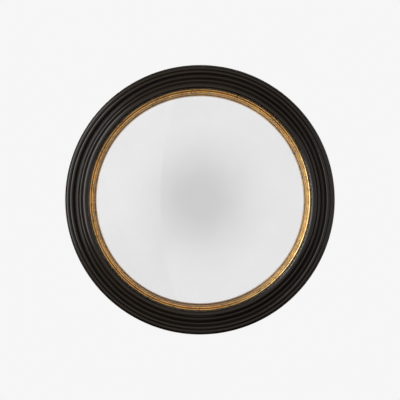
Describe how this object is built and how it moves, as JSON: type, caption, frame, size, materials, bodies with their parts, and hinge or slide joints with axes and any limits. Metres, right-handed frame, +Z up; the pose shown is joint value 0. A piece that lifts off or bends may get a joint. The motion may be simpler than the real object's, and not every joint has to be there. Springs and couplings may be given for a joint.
{
  "type": "convex wall mirror",
  "caption": "Round convex mirror in a black moulded wooden frame with a rubbed gilt slip, hung by two D-rings.",
  "frame": {"origin": "centre of the ring, half way through the depth from the wall to the glass's crest", "axes": "+Z up as it hangs, +Y towards the wall, -Y the way the glass faces"},
  "size_m": [0.576, 0.0552, 0.576],
  "materials": {
    "ebonised_wood": "black stain and satin wax over moulded wood",
    "gilding": "rubbed gold leaf over red clay on wood",
    "glass": "clear polished glass",
    "silver": "silvered, with grey back paint",
    "felt": "grey pressed felt",
    "beech": "planed beech",
    "pine": "sawn pine",
    "hardboard": "smooth brown hardboard",
    "brass": "dull brass",
    "steel": "bright zinc plate",
    "rubber": "moulded black rubber"
  },
  "bodies": {
    "mirror": {"frame_segment_1": "ebonised_wood", "frame_segment_2": "ebonised_wood", "frame_segment_3": "ebonised_wood", "frame_segment_4": "ebonised_wood", "frame_segment_5": "ebonised_wood", "frame_segment_6": "ebonised_wood", "frame_segment_7": "ebonised_wood", "frame_segment_8": "ebonised_wood", "frame_tenons": "beech", "gilt_slip": "gilding", "slip_brads": "steel", "mirror_glass": "glass", "silver_coat": "silver", "glass_felt": "felt", "glass_blocks": "pine", "backing_board": "hardboard", "board_screws": "brass", "board_cups": "brass", "wall_bumpers": "rubber", "hanger_strap_left": "steel", "hanger_screw_left": "brass", "hanger_strap_right": "steel", "hanger_screw_right": "brass"},
    "ring_left": {"hanger_ring_left": "steel"},
    "ring_right": {"hanger_ring_right": "steel"}
  },
  "joints": [
    {"name": "ring_left_swing", "type": "hinge", "parent": "mirror", "child": "ring_left", "pos_m": [-0.2269, 0.02326, 0.131], "axis": [0.5, 0, 0.866], "range_deg": [-6, 165]},
    {"name": "ring_right_swing", "type": "hinge", "parent": "mirror", "child": "ring_right", "pos_m": [0.2269, 0.02326, 0.131], "axis": [0.5, 0, -0.866], "range_deg": [-6, 165]}
  ]
}
